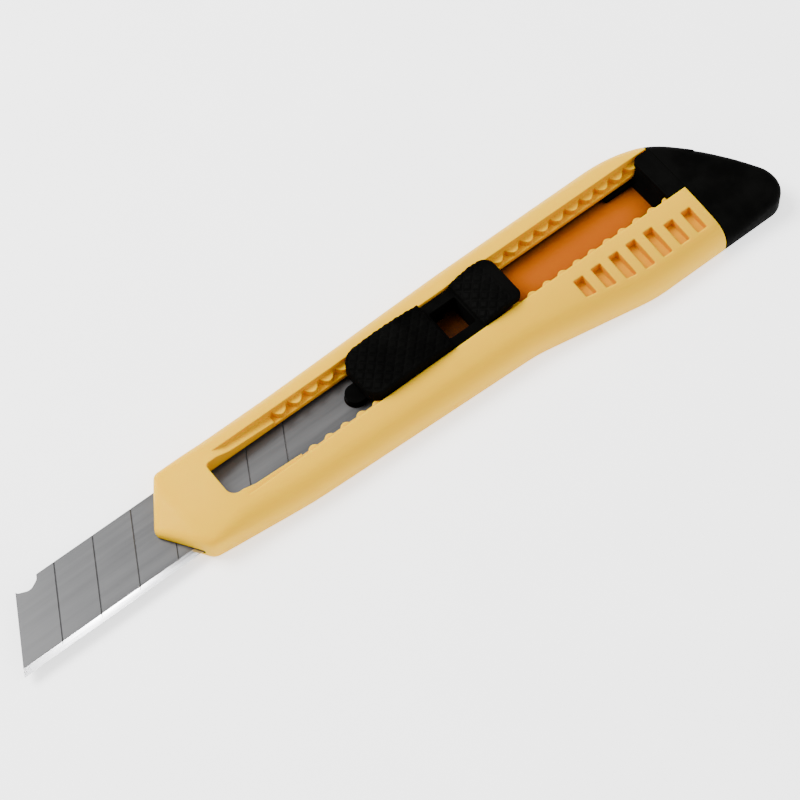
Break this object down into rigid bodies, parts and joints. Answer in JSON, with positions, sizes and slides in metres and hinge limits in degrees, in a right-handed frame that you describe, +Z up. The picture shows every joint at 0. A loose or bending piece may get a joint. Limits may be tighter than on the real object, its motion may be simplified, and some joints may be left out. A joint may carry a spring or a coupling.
{
  "type": "snap off utility knife",
  "caption": "Snap-off cutter: scored blade on a thumb slider in a slotted plastic handle with detent racks, and a pull-off end cap",
  "frame": {"origin": "centre of the bounding box at its base, in the plane the knife's flat back rests on", "axes": "+X from the blade's tip to the end cap, +Y from the cutting edge to the spine, +Z up out of the thumb slider's side"},
  "size_m": [0.2012, 0.0332, 0.0122],
  "materials": {
    "handle": "warm yellow moulded plastic, satin",
    "blade": "satin ground carbon steel",
    "slider": "black moulded plastic with a knurled top",
    "end_cap": "black moulded plastic, satin"
  },
  "bodies": {
    "handle": {"handle": "handle"},
    "carriage": {"blade": "blade", "slider": "slider"},
    "end_cap": {"end_cap": "end_cap"}
  },
  "joints": [
    {"name": "slider_slide", "type": "slide", "parent": "handle", "child": "carriage", "axis": [-1, 0, 0], "range_m": [-0.0465, 0.031]},
    {"name": "end_cap_pull", "type": "slide", "parent": "handle", "child": "end_cap", "axis": [1, 0, 0], "range_m": [0, 0.016]}
  ]
}
